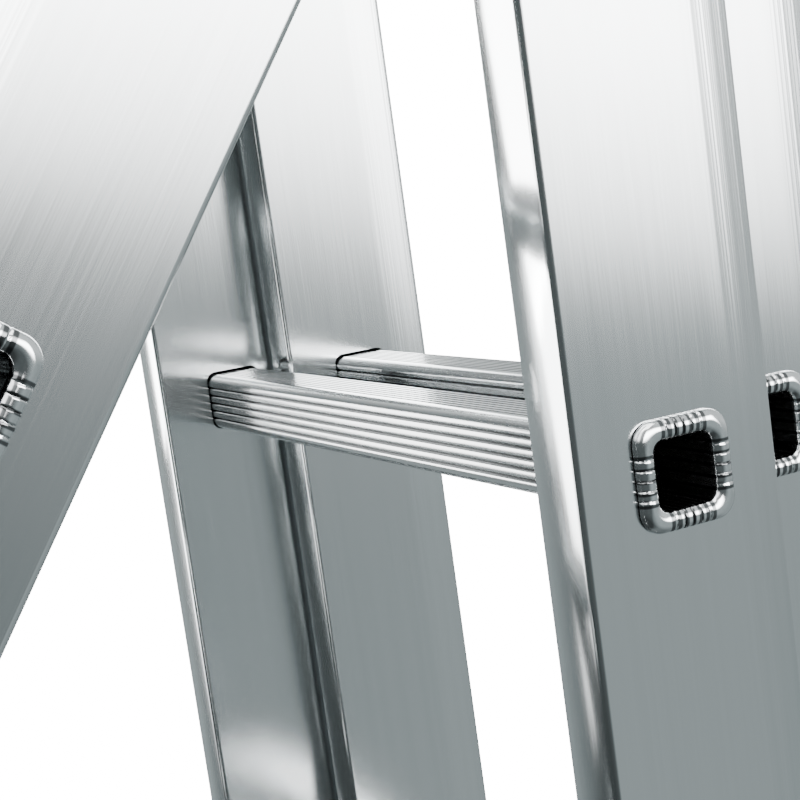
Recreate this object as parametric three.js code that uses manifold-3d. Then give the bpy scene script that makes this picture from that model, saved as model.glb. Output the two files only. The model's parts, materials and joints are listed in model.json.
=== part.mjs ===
// Three-section combination ladder, standing open as an A-frame.
// Millimetres, +Z up. X runs along the rungs, the base section leans towards +Y from -Y, and the
// middle section leans the other way. The top section is nested inside the middle one and slides up it.
// Each section is modelled in its own flat frame: X along the rungs, Y across the stile's width,
// Z up the stile with zero at the height of the hinge. Nested groups then tilt the two legs.

import * as THREE from "three";
import { mergeVertices } from "three/addons/utils/BufferGeometryUtils.js";
import Module from "manifold-3d";

const wasm = await Module();
wasm.setup();

// ---- driving dimensions ----
const GAP = 0.3; // clearance between touching pieces
const LEG_ANGLE = THREE.MathUtils.degToRad(17.5); // each leg from the vertical
const STILE_WIDTH = 81; // across the section, along Y
const STILE_RADIUS = 2; // outer corners of the stile
const STILE_WALL = 1.8;
const SECTION_STEP = 60; // from one section's rungs to the next one's when nested
const NEST_GAP = 5; // free space between nested stiles, along X
const RUNG_SIDE = 28;
const RUNG_CORNER = 4;
const RUNG_WALL = 2;
const RUNG_COUNT = 7;
const RUNG_PITCH = 280;
const FLARE_SIDE = 36.4;
const FLARE_REACH = 3.5; // how far the swaged rung end stands proud of the stile
const FLARE_START = 0.4;
const HINGE_TO_TOP_RUNG = 23; // the top rung sits this far below the hinge
const STILE_TOP = 45; // above the hinge
const STILE_BOTTOM = -1868; // below the hinge
const CAP_HEIGHT = 6;
const CAP_COLLAR = 4.5; // the top section's cap overhangs by this, and rests on the upper guide
const PLUG_DEPTH = 22;
const SOLE_DROP = 24; // from the stile's end to the floor, along the stile's middle

// Half of each section's outer width, and its stiles' thickness along X.
const MIDDLE = { half: 205, thick: 26 };
const TOP = { half: MIDDLE.half - MIDDLE.thick - NEST_GAP, thick: 24 };
const BASE = { half: MIDDLE.half + NEST_GAP + 26, thick: 26 };

// Stabiliser bar across the foot of the base section.
const BAR_LENGTH = 950;
const BAR_HEIGHT = 60;
const BAR_DEPTH = 32;
const BAR_WALL = 2.2;
const BAR_LOW = STILE_BOTTOM + 6; // lower edge of the bar along the stile

// Hinge.
const STUD_RADIUS = 6;
const COLLAR_RADIUS = 13;
const NUT_RADIUS = 9.5;
const NUT_REACH = 7;
const PLATE_THICK = 2.5;
const PLATE_HIGH = 30;
const PLATE_LOW = 68;
const PLATE_HALF = 9;

// Brackets, hooks and straps.
const STEEL = 3;
const GUIDE_HEIGHT = 56;
const LOW_GUIDE_HEIGHT = 50;
const LOW_GUIDE_BASE = STILE_BOTTOM + 34;
const HOOK_THICK = 5;
const HOOK_PIVOT = { y: 30, z: 42 }; // from the axis of the rung it drops over
const HOOK_PIN_RADIUS = 4;
const STRAP_WIDTH = 25;
const STRAP_THICK = 1.8;
const STRAP_LEVEL = 1180; // below the hinge along each leg
const STRAP_OVERLAP = 26; // how far the strap runs past each stile's inner edge

// ---- materials ----
const metal = (color, roughness) => new THREE.MeshStandardMaterial({ color, roughness, metalness: 1 });
const brushedAluminium = metal(0xb9c0c2, 0.38);
const rungAluminium = metal(0xc4c9cb, 0.26);
const galvanised = metal(0x9aa0a4, 0.45);
const zincBolt = metal(0xa8a49a, 0.35);
const blackPlastic = new THREE.MeshStandardMaterial({ color: 0x1d1f20, roughness: 0.55 });
const blackRubber = new THREE.MeshStandardMaterial({ color: 0x141414, roughness: 0.85 });
const webbing = new THREE.MeshStandardMaterial({ color: 0x2a2c2f, roughness: 0.95 });

// ---- geometry helpers ----

// A closed geometry as a solid for cutting and joining.
function toSolid(geometry) {
  const bare = geometry.clone();
  bare.deleteAttribute("normal");
  bare.deleteAttribute("uv");
  const merged = mergeVertices(bare, 1e-3);
  return new wasm.Manifold(
    new wasm.Mesh({
      numProp: 3,
      vertProperties: Float32Array.from(merged.attributes.position.array),
      triVerts: Uint32Array.from(merged.index.array),
    }),
  );
}

function toGeometry(solid) {
  const mesh = solid.getMesh();
  const geometry = new THREE.BufferGeometry();
  geometry.setAttribute("position", new THREE.BufferAttribute(Float32Array.from(mesh.vertProperties), 3));
  geometry.setIndex(new THREE.BufferAttribute(Uint32Array.from(mesh.triVerts), 1));
  geometry.computeVertexNormals();
  return geometry;
}

const cut = (geometry, tools) =>
  toGeometry(tools.reduce((solid, tool) => solid.subtract(toSolid(tool)), toSolid(geometry)));
const join = (geometry, others) =>
  toGeometry(others.reduce((solid, other) => solid.add(toSolid(other)), toSolid(geometry)));

// A closed outline through [x, y] points, as a shape.
const outline = (points) => new THREE.Shape(points.map(([x, y]) => new THREE.Vector2(x, y)));

// A rectangle centred on the origin with rounded corners, each corner an arc of one or more straight steps.
function roundedRectangle(width, height, radius, steps = 1) {
  const points = [];
  for (let corner = 0; corner < 4; corner++) {
    const sideX = corner === 0 || corner === 3 ? 1 : -1;
    const sideY = corner < 2 ? 1 : -1;
    for (let i = 0; i <= steps; i++) {
      const angle = (Math.PI / 2) * (corner + i / steps);
      points.push([
        sideX * (width / 2 - radius) + radius * Math.cos(angle),
        sideY * (height / 2 - radius) + radius * Math.sin(angle),
      ]);
    }
  }
  return outline(points);
}

// A shape in the X-Y plane pulled up from z = low to z = high.
function prismZ(shape, low, high, hole = null) {
  const profile = shape.clone();
  if (hole) profile.holes.push(hole);
  return new THREE.ExtrudeGeometry(profile, { depth: high - low, bevelEnabled: false, steps: 1 }).translate(0, 0, low);
}

// A shape drawn in the Y-Z plane, pulled along X from low to high.
const prismX = (shape, low, high, hole = null) =>
  prismZ(shape, low, high, hole).applyMatrix4(new THREE.Matrix4().set(0, 0, 1, 0, 1, 0, 0, 0, 0, 1, 0, 0, 0, 0, 0, 1));

const box = (x0, x1, y0, y1, z0, z1) =>
  new THREE.BoxGeometry(x1 - x0, y1 - y0, z1 - z0).translate((x0 + x1) / 2, (y0 + y1) / 2, (z0 + z1) / 2);

// A round bar along X.
const rodX = (radius, low, high, y, z, sides = 16) =>
  new THREE.CylinderGeometry(radius, radius, high - low, sides)
    .rotateZ(Math.PI / 2)
    .translate((low + high) / 2, y, z);

// Turns a piece made for the +X side into the matching piece of the -X side.
function mirrorX(geometry) {
  const turned = toSolid(geometry).getMesh();
  const positions = Float32Array.from(turned.vertProperties);
  for (let i = 0; i < positions.length; i += 3) positions[i] = -positions[i];
  const faces = Uint32Array.from(turned.triVerts);
  for (let i = 0; i < faces.length; i += 3) [faces[i + 1], faces[i + 2]] = [faces[i + 2], faces[i + 1]];
  const mirrored = new THREE.BufferGeometry();
  mirrored.setAttribute("position", new THREE.BufferAttribute(positions, 3));
  mirrored.setIndex(new THREE.BufferAttribute(faces, 1));
  mirrored.computeVertexNormals();
  return mirrored;
}

function addMesh(group, name, geometry, material) {
  const mesh = new THREE.Mesh(geometry, material);
  mesh.name = name;
  group.add(mesh);
}

// The same piece on both sides of the ladder, modelled on the +X side.
function addPair(group, name, geometry, material) {
  addMesh(group, name + "_right", geometry, material);
  addMesh(group, name + "_left", mirrorX(geometry), material);
}

// ---- pieces that every section has ----
const rungLevel = (index) => -HINGE_TO_TOP_RUNG - RUNG_PITCH * (RUNG_COUNT - index);
const allRungs = Array.from({ length: RUNG_COUNT }, (_, i) => i + 1);

// A box-section stile, open at both ends, with a square hole through both walls for each rung.
function stile(section, extraHoles = []) {
  const middle = section.half - section.thick / 2;
  const outer = roundedRectangle(section.thick, STILE_WIDTH, STILE_RADIUS, 2);
  const inner = roundedRectangle(section.thick - 2 * STILE_WALL, STILE_WIDTH - 2 * STILE_WALL, 0.8);
  const tube = prismZ(outer, STILE_BOTTOM, STILE_TOP, inner).translate(middle, 0, 0);
  const holeSide = RUNG_SIDE + 2 * GAP;
  const holes = allRungs.map((index) =>
    prismX(roundedRectangle(holeSide, holeSide, RUNG_CORNER), section.half - section.thick - 5, section.half + 5)
      .translate(0, 0, rungLevel(index)),
  );
  return cut(tube, [...holes, ...extraHoles]);
}

// A hollow square rung, through both stiles and swaged wider outside them.
function rung(section, index) {
  const reach = section.half + FLARE_START;
  const bar = prismX(roundedRectangle(RUNG_SIDE, RUNG_SIDE, RUNG_CORNER), -reach - 1, reach + 1);
  const flare = roundedRectangle(FLARE_SIDE, FLARE_SIDE, RUNG_CORNER + 2);
  const flares = [prismX(flare, reach, reach + FLARE_REACH), prismX(flare, -reach - FLARE_REACH, -reach)];
  const boreSide = RUNG_SIDE - 2 * RUNG_WALL;
  const bore = prismX(roundedRectangle(boreSide, boreSide, RUNG_CORNER - RUNG_WALL), -reach - 10, reach + 10);
  return cut(join(bar, flares), [bore]).translate(0, 0, rungLevel(index));
}

// A moulded cap on a stile's upper end, with a plug that sits inside the stile.
function topCap(section, overhang = 0) {
  const middle = section.half - section.thick / 2;
  const low = STILE_TOP + GAP;
  const lid = prismZ(
    roundedRectangle(section.thick + 2 * overhang, STILE_WIDTH + 2 * overhang, STILE_RADIUS + overhang, 2),
    low,
    low + CAP_HEIGHT,
  );
  return join(lid, [endPlug(section, STILE_TOP - PLUG_DEPTH, low + 1)]).translate(middle, 0, 0);
}

// The part of a cap or foot that fills the stile's end.
function endPlug(section, low, high) {
  const slack = 2 * (STILE_WALL + GAP);
  return prismZ(roundedRectangle(section.thick - slack, STILE_WIDTH - slack, 0.8), low, high);
}

function bottomCap(section) {
  const middle = section.half - section.thick / 2;
  const high = STILE_BOTTOM - GAP;
  const lid = prismZ(roundedRectangle(section.thick, STILE_WIDTH, STILE_RADIUS, 2), high - CAP_HEIGHT, high);
  return join(lid, [endPlug(section, high - 1, STILE_BOTTOM + PLUG_DEPTH)]).translate(middle, 0, 0);
}

function addStilesAndRungs(group, section, name, extraHoles) {
  addPair(group, name + "_stile", stile(section, extraHoles), brushedAluminium);
  allRungs.forEach((index) => addMesh(group, name + "_rung_" + index, rung(section, index), rungAluminium));
}

// A block whose sole is level when its leg leans by LEG_ANGLE; lean is +1 or -1 along Y.
function levelSole(block, lean) {
  const floorDrop = STILE_BOTTOM - SOLE_DROP;
  const slab = box(-900, 900, -400, 400, floorDrop - 400, floorDrop);
  slab.translate(0, 0, -floorDrop);
  slab.rotateX(lean * LEG_ANGLE);
  slab.translate(0, 0, floorDrop);
  return cut(block, [slab]);
}

// ---- hinge ----
const hingeY = { base: SECTION_STEP / 2, middle: -SECTION_STEP / 2 };

// A galvanised strengthening plate on the face of a stile, round ended over the hinge.
function hingePlate(x, y) {
  const shape = new THREE.Shape();
  shape.moveTo(-PLATE_HALF, -PLATE_LOW);
  shape.lineTo(PLATE_HALF, -PLATE_LOW);
  shape.lineTo(PLATE_HALF, PLATE_HIGH - PLATE_HALF);
  shape.absarc(0, PLATE_HIGH - PLATE_HALF, PLATE_HALF, 0, Math.PI, false);
  shape.closePath();
  const hole = new THREE.Path();
  hole.absarc(0, 0, STUD_RADIUS + GAP, 0, 2 * Math.PI, true);
  const points = shape.extractPoints(4);
  const plain = new THREE.Shape(points.shape);
  plain.holes.push(new THREE.Path(hole.getPoints(8)));
  return prismX(plain, x, x + PLATE_THICK).translate(0, y, 0);
}

// The stud through both stiles: a collar keeps them apart, a dome nut closes each end.
function hingeStud() {
  const outerFace = BASE.half + PLATE_THICK + 2 * GAP;
  const innerFace = MIDDLE.half - MIDDLE.thick - PLATE_THICK - 2 * GAP;
  const shaft = rodX(STUD_RADIUS, innerFace - 2, outerFace + 2, 0, 0);
  const collar = rodX(COLLAR_RADIUS, MIDDLE.half + GAP, MIDDLE.half + NEST_GAP - GAP, 0, 0, 24);
  const outerNut = rodX(NUT_RADIUS, outerFace, outerFace + NUT_REACH, 0, 0, 6);
  const innerNut = rodX(NUT_RADIUS, innerFace - NUT_REACH, innerFace, 0, 0, 6);
  return join(shaft, [collar, outerNut, innerNut]);
}

const hingeHole = (section, y) =>
  rodX(STUD_RADIUS + GAP, section.half - section.thick - 5, section.half + 5, y, 0);

// ---- base section with its stabiliser bar ----
function buildBase(group) {
  addStilesAndRungs(group, BASE, "base", [hingeHole(BASE, hingeY.base), ...barBoltHoles()]);
  addPair(group, "base_top_cap", topCap(BASE), blackPlastic);
  addPair(group, "base_end_plug", bottomCap(BASE), blackPlastic);
  addPair(group, "base_hinge_plate", hingePlate(BASE.half + GAP, hingeY.base), galvanised);
  addMesh(group, "stabiliser_bar", stabiliserBar(), brushedAluminium);
  addPair(group, "stabiliser_foot", stabiliserFoot(), blackRubber);
  addPair(group, "bar_bolt", barBolt(), zincBolt);
}

const barFace = -STILE_WIDTH / 2 - GAP; // the stile's outer edge, which the bar is bolted to
const barMiddle = { y: barFace - BAR_DEPTH / 2, z: BAR_LOW + BAR_HEIGHT / 2 };
const boltX = BASE.half - BASE.thick / 2;

const boltY = (radius, low, high, sides = 12) =>
  new THREE.CylinderGeometry(radius, radius, high - low, sides).translate(boltX, (low + high) / 2, barMiddle.z);

function barBoltHoles() {
  return [boltY(4 + GAP, barFace - 5, STILE_WIDTH / 2 + 5)];
}

function stabiliserBar() {
  const outer = roundedRectangle(BAR_DEPTH, BAR_HEIGHT, 4, 2);
  const inner = roundedRectangle(BAR_DEPTH - 2 * BAR_WALL, BAR_HEIGHT - 2 * BAR_WALL, 2);
  const bar = prismX(outer, -BAR_LENGTH / 2, BAR_LENGTH / 2, inner).translate(0, barMiddle.y, barMiddle.z);
  const hole = boltY(4 + GAP, barFace - BAR_DEPTH - 5, barFace + 5);
  return cut(bar, [hole, mirrorX(hole)]);
}

// A carriage bolt through the bar and the stile, with a nut inside the leg.
function barBolt() {
  const head = barFace - BAR_DEPTH - GAP;
  const back = STILE_WIDTH / 2 + GAP;
  return join(boltY(4, head - 1, back + 9), [boltY(9, head - 4, head, 16), boltY(7.5, back, back + 6.5, 6)]);
}

// A rubber shoe over the end of the bar, with a sole that is level when the leg leans.
function stabiliserFoot() {
  const wall = 5;
  const length = 62;
  const low = STILE_BOTTOM - 60;
  const high = BAR_LOW + BAR_HEIGHT + wall;
  const inside = BAR_LENGTH / 2 - length;
  const block = box(
    inside,
    BAR_LENGTH / 2 + wall,
    barMiddle.y - BAR_DEPTH / 2 - wall,
    barMiddle.y + BAR_DEPTH / 2 + wall,
    low,
    high,
  );
  const socket = box(
    inside - 5,
    BAR_LENGTH / 2 + GAP,
    barMiddle.y - BAR_DEPTH / 2 - GAP,
    barMiddle.y + BAR_DEPTH / 2 + GAP,
    BAR_LOW - GAP,
    BAR_LOW + BAR_HEIGHT + GAP,
  );
  return levelSole(cut(block, [socket]), 1);
}

// ---- middle section ----
function buildMiddle(group) {
  addStilesAndRungs(group, MIDDLE, "middle", [hingeHole(MIDDLE, hingeY.middle)]);
  addPair(group, "middle_top_cap", topCap(MIDDLE), blackPlastic);
  addPair(group, "middle_foot", rubberFoot(), blackRubber);
  const plateX = MIDDLE.half - MIDDLE.thick - GAP - PLATE_THICK;
  addPair(group, "middle_hinge_plate", hingePlate(plateX, hingeY.middle), galvanised);
  addPair(group, "upper_guide", upperGuide(), galvanised);
}

// A rubber shoe round the stile's end, with a level sole.
function rubberFoot() {
  const wall = 4;
  const middle = MIDDLE.half - MIDDLE.thick / 2;
  const sleeveTop = STILE_BOTTOM + 30;
  const shell = prismZ(
    roundedRectangle(MIDDLE.thick + 2 * wall, STILE_WIDTH + 2 * wall, STILE_RADIUS + wall, 2),
    STILE_BOTTOM - 70,
    sleeveTop,
  );
  const socket = prismZ(
    roundedRectangle(MIDDLE.thick + 2 * GAP, STILE_WIDTH + 2 * GAP, STILE_RADIUS, 2),
    STILE_BOTTOM - GAP,
    sleeveTop + 5,
  );
  return levelSole(cut(shell, [socket]).translate(middle, 0, 0), -1);
}

// A steel strap bent round the top section's outer edge, so that the section can only slide.
function upperGuide() {
  const edge = STILE_WIDTH / 2;
  const outside = MIDDLE.half + GAP;
  const plate = TOP.half + FLARE_REACH + 1;
  const back = SECTION_STEP + edge + 2;
  const lip = TOP.half - TOP.thick - 1;
  const start = FLARE_SIDE / 2 + 3;
  const shape = outline([
    [outside, start],
    [outside + STEEL, start],
    [outside + STEEL, edge + GAP + STEEL],
    [plate + STEEL, edge + GAP + STEEL],
    [plate + STEEL, back + STEEL],
    [lip - STEEL, back + STEEL],
    [lip - STEEL, back - 18],
    [lip, back - 18],
    [lip, back],
    [plate, back],
    [plate, edge + GAP],
    [outside, edge + GAP],
  ]);
  return prismZ(shape, STILE_TOP - GUIDE_HEIGHT, STILE_TOP - GAP);
}

// ---- top section ----
function buildTop(group) {
  const pinZ = rungLevel(1) + HOOK_PIVOT.z;
  const pinY = HOOK_PIVOT.y - SECTION_STEP;
  const pinHole = rodX(HOOK_PIN_RADIUS + GAP, TOP.half - TOP.thick - 5, TOP.half - TOP.thick + 5, pinY, pinZ);
  addStilesAndRungs(group, TOP, "top", [pinHole]);
  addPair(group, "top_section_cap", topCap(TOP, CAP_COLLAR), blackPlastic);
  addPair(group, "top_end_plug", bottomCap(TOP), blackPlastic);
  addPair(group, "lower_guide", lowerGuide(), galvanised);
  addPair(group, "hook_pin", hookPin(pinY, pinZ), zincBolt);
}

// A steel strap from the top section's stile, bent round the middle section's outer corner.
function lowerGuide() {
  const edge = STILE_WIDTH / 2 - SECTION_STEP; // the middle stile's outer edge, seen from this section
  const face = TOP.half + GAP;
  const around = MIDDLE.half + 1;
  const shape = outline([
    [face, edge + 2],
    [around, edge + 2],
    [around, edge - 18],
    [around + STEEL, edge - 18],
    [around + STEEL, edge + 2 + STEEL],
    [face + STEEL, edge + 2 + STEEL],
    [face + STEEL, STILE_WIDTH / 2 - 3],
    [face, STILE_WIDTH / 2 - 3],
  ]);
  return prismZ(shape, LOW_GUIDE_BASE, LOW_GUIDE_BASE + LOW_GUIDE_HEIGHT);
}

const hookOuterX = TOP.half - TOP.thick - 1.5; // the hook's face nearest its stile

// A shouldered pin that the rung hook swings on.
function hookPin(y, z) {
  const head = hookOuterX - HOOK_THICK - 1;
  const shaft = rodX(HOOK_PIN_RADIUS, head - 1, TOP.half - TOP.thick + 4, y, z, 12);
  return join(shaft, [rodX(7, head - 4, head, y, z, 16)]);
}

// A steel hook that flips over to drop onto a rung of the middle section.
// It is drawn over that rung, with its pin at the origin, and stowed by turning it back.
function rungHook() {
  const rungTop = RUNG_SIDE / 2 - HOOK_PIVOT.z; // seen from the pin
  const rungFront = -RUNG_SIDE / 2 - HOOK_PIVOT.y;
  const play = 2;
  const shape = new THREE.Shape();
  shape.moveTo(9, 0);
  shape.absarc(0, 0, 9, 0, Math.PI / 2, false);
  shape.lineTo(rungFront - play - 7, -11);
  shape.lineTo(rungFront - play - 9, rungTop - 16);
  shape.lineTo(rungFront - play - 2, rungTop - 18);
  shape.lineTo(rungFront - play, rungTop + play);
  shape.lineTo(-16, rungTop + play);
  shape.lineTo(-9, -9);
  shape.absarc(0, 0, 9, -Math.PI / 2 - 0.3, 0, false);
  shape.closePath();
  const points = shape.extractPoints(3);
  const hole = new THREE.Path();
  hole.absarc(0, 0, HOOK_PIN_RADIUS + GAP, 0, 2 * Math.PI, true);
  const plate = new THREE.Shape(points.shape);
  plate.holes.push(new THREE.Path(hole.getPoints(12)));
  return prismX(plate, hookOuterX - HOOK_THICK, hookOuterX);
}

const HOOK_STOWED = THREE.MathUtils.degToRad(-221); // flipped back, at rest on its own section's rung

function buildHooks(group) {
  const geometry = rungHook()
    .rotateX(HOOK_STOWED)
    .translate(0, HOOK_PIVOT.y - SECTION_STEP, rungLevel(1) + HOOK_PIVOT.z);
  addPair(group, "rung_hook", geometry, galvanised);
}

// ---- assembly ----
// Each leg's group turns about the hinge line, which is the origin of the tilted groups.
function leg(lean, hingeOffset) {
  const tilt = new THREE.Group();
  tilt.rotation.x = lean * LEG_ANGLE;
  const section = new THREE.Group();
  section.position.y = -hingeOffset;
  tilt.add(section);
  return { tilt, section };
}

// A flat webbing strap between the legs, level when they are open.
function spreaderStrap() {
  const drop = STRAP_LEVEL * Math.cos(LEG_ANGLE);
  const reach = STRAP_LEVEL * Math.sin(LEG_ANGLE) + STRAP_OVERLAP;
  const middle = MIDDLE.half + NEST_GAP / 2;
  return box(
    middle - STRAP_THICK / 2,
    middle + STRAP_THICK / 2,
    -reach,
    reach,
    -drop - STRAP_WIDTH / 2,
    -drop + STRAP_WIDTH / 2,
  );
}

const ladder = new THREE.Group();
const baseLeg = leg(-1, hingeY.base);
const middleLeg = leg(1, hingeY.middle);
buildBase(baseLeg.section);
buildMiddle(middleLeg.section);

const topSection = new THREE.Group();
topSection.position.y = SECTION_STEP;
middleLeg.section.add(topSection);
buildTop(topSection);
buildHooks(topSection);

ladder.add(baseLeg.tilt, middleLeg.tilt);
addPair(ladder, "hinge_stud", hingeStud(), zincBolt);
addPair(ladder, "spreader_strap", spreaderStrap(), webbing);

// The origin is on the floor, below the middle of the ladder's box.
const bounds = new THREE.Box3().setFromObject(ladder, true);
ladder.position.set(0, -(bounds.min.y + bounds.max.y) / 2, -bounds.min.z);

export default ladder;
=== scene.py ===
"""Looks of a three-section combination ladder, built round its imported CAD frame.

Everything is in metres. Each section is modelled in its own flat frame, as the CAD is: x along the rungs,
y across the stile's width and z up the stile, with zero at the height of the hinge.
"""
import json
import math

import bmesh
import bpy
from mathutils import Matrix, Quaternion, Vector

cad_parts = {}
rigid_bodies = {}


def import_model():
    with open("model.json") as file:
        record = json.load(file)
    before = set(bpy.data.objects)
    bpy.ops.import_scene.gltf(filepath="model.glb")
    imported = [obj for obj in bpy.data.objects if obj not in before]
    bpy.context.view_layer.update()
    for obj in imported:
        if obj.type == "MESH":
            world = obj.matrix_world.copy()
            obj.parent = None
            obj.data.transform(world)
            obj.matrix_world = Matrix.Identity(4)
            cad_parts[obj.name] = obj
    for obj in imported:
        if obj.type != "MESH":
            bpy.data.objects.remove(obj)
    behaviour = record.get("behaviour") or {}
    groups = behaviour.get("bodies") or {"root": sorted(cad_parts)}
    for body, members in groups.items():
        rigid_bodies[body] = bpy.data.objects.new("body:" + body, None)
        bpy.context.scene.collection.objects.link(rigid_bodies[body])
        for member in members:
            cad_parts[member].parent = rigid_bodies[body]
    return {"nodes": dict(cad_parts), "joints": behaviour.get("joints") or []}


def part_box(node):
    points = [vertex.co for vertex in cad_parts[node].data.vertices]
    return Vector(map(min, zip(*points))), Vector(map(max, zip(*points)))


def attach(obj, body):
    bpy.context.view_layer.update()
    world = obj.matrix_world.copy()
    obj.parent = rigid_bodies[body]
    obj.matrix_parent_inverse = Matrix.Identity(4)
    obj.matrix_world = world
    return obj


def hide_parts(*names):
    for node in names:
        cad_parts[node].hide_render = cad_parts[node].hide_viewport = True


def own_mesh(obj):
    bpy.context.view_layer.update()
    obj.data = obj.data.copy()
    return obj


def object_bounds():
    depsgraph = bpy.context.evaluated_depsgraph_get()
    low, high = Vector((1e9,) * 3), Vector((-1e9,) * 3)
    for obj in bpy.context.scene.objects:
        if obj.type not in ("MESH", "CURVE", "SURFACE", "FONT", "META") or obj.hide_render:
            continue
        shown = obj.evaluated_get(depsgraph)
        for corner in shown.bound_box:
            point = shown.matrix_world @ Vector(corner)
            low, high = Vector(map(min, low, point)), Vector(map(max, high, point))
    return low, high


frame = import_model()
cad_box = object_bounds()

MM = 0.001
JOINTS = {joint["name"]: joint for joint in frame["joints"]}
SIDES = (("right", 1), ("left", -1))

# ------------------------ the sections' own frames

SLIDE = Vector(JOINTS["extend"]["axis"])  # up the middle section's stiles
HINGE = Vector(JOINTS["fold"]["pos_m"])
LEAN = math.atan2(-SLIDE.y, SLIDE.z)
SECTION_STEP = 60 * MM  # from one section's rungs to the next one's


def section_frame(lean, y_offset):
    """The matrix from a section's frame to the row frame."""
    return Matrix.Translation(HINGE) @ Matrix.Rotation(lean, 4, "X") @ Matrix.Translation((0, y_offset, 0))


def span(node, matrix):
    """Lowest and highest corner of a CAD node, seen in a section's frame."""
    obj = frame["nodes"][node]
    inverse = matrix.inverted() @ obj.matrix_world
    points = [inverse @ vertex.co for vertex in obj.data.vertices]
    return (
        Vector(min(p[i] for p in points) for i in range(3)),
        Vector(max(p[i] for p in points) for i in range(3)),
    )


class Section:
    """One section of the ladder: its frame, its body and the sizes read from its CAD nodes."""

    def __init__(self, name, body, lean, y_offset):
        self.name = name
        self.body = body
        self.outer_side = 1 if lean > 0 else -1  # the side of the A-frame that a climber faces
        self.matrix = section_frame(lean, y_offset)
        low, high = span(name + "_stile_right", self.matrix)
        self.inside, self.outside = low.x, high.x
        self.thick = high.x - low.x
        self.middle = (low.x + high.x) / 2
        self.width = high.y - low.y
        self.bottom, self.top = low.z, high.z
        self.rungs = []
        while f"{name}_rung_{len(self.rungs) + 1}" in frame["nodes"]:
            low, high = span(f"{name}_rung_{len(self.rungs) + 1}", self.matrix)
            self.rungs.append((low.z + high.z) / 2)
        self.flare_end = high.x


BASE = Section("base", "base_section", -LEAN, -SECTION_STEP / 2)
MIDDLE = Section("middle", "middle_section", LEAN, SECTION_STEP / 2)
TOP = Section("top", "top_section", LEAN, SECTION_STEP * 3 / 2)
SECTIONS = (BASE, MIDDLE, TOP)

# ------------------------ camera

PICTURE_RUNG = 5  # index of the rung nearest the middle of the view, the second from the top
CAMERA_OFFSET = Vector((440.3, -313.4, 109.9)) * MM  # from that rung's near end, in the section's frame
CAMERA_AZIMUTH = math.radians(62.61)
CAMERA_ELEVATION = math.radians(0.03)
CAMERA_ROLL = math.radians(7.69)
CAMERA_LENS = 76.7


def new_object(name, data):
    obj = bpy.data.objects.new(name, data)
    bpy.context.scene.collection.objects.link(obj)
    return obj


def make_camera():
    data = bpy.data.cameras.new("camera")
    data.lens = CAMERA_LENS
    data.sensor_width = 36
    data.clip_start = 0.01
    camera = new_object("camera", data)
    near_end = Vector((MIDDLE.outside, 0, MIDDLE.rungs[PICTURE_RUNG]))
    camera.location = MIDDLE.matrix @ (near_end + CAMERA_OFFSET)
    azimuth, flat = CAMERA_AZIMUTH, math.cos(CAMERA_ELEVATION)
    forward = Vector((-math.sin(azimuth) * flat, math.cos(azimuth) * flat, -math.sin(CAMERA_ELEVATION)))
    camera.rotation_mode = "QUATERNION"
    camera.rotation_quaternion = forward.to_track_quat("-Z", "Y") @ Quaternion((0, 0, 1), CAMERA_ROLL)
    bpy.context.scene.camera = camera


# ------------------------ the rungs' grooves

# Each face's number of grooves, their pitch, depth and half width, and how far the ribs between them crown.
SIDE_RIBS = (5, 3.92 * MM, 0.75 * MM, 0.72 * MM, 0.16 * MM)
TREAD_RIBS = (7, 2.70 * MM, 0.60 * MM, 0.60 * MM, 0.10 * MM)
SIDE_SHIFT = -0.25 * MM  # the side grooves lie a little low, as the broad smooth band is at the top corner
GROOVE_SHADE_STRENGTH = 0.85  # how strongly shade is painted into the bottoms of the grooves
# the dark colour that the grooves' painted shade goes towards
GROOVE_SHADE_COLOUR = (0.03, 0.033, 0.035, 1)
SIDE_GROOVE_SHADE = (0.07, 0.20)  # how far from a groove's middle, in pitches, the painted shade starts to fade and is gone
TREAD_GROOVE_SHADE = (0.19, 0.36)

# ------------------------ materials


class Tree:
    """A short way to write a node tree."""

    def __init__(self, tree):
        self.tree = tree

    def add(self, kind, sockets=(), **settings):
        """A node, with values or outputs for its input sockets by name or number."""
        node = self.tree.nodes.new(kind)
        for key, value in settings.items():
            setattr(node, key, value)
        for key, value in dict(sockets).items():
            self.feed(node.inputs[key], value)
        return node

    def feed(self, socket, value):
        """Links an output to a socket, or sets the socket to a number, a colour or a vector."""
        if isinstance(value, bpy.types.NodeSocket):
            self.tree.links.new(value, socket)
        else:
            socket.default_value = value

    def maths(self, operation, *values):
        return self.add("ShaderNodeMath", enumerate(values), operation=operation).outputs["Value"]

    def vector(self, operation, *values, output="Vector"):
        return self.add("ShaderNodeVectorMath", enumerate(values), operation=operation).outputs[output]

    def remap(self, value, low, high, to_low, to_high, smooth=False):
        kind = "SMOOTHSTEP" if smooth else "LINEAR"
        sockets = enumerate((value, low, high, to_low, to_high))
        return self.add("ShaderNodeMapRange", sockets, interpolation_type=kind).outputs["Result"]

    def ramp(self, value, *stops):
        """A colour ramp through (position, (r, g, b)) stops."""
        node = self.add("ShaderNodeValToRGB", {"Fac": value})
        elements = node.color_ramp.elements
        while len(elements) < len(stops):
            elements.new(0.5)
        for element, (position, colour) in zip(elements, stops):
            element.position = position
            element.color = (*colour, 1)
        return node.outputs["Color"]

    def axes(self, vector):
        return self.add("ShaderNodeSeparateXYZ", {"Vector": vector}).outputs[0:3]


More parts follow.
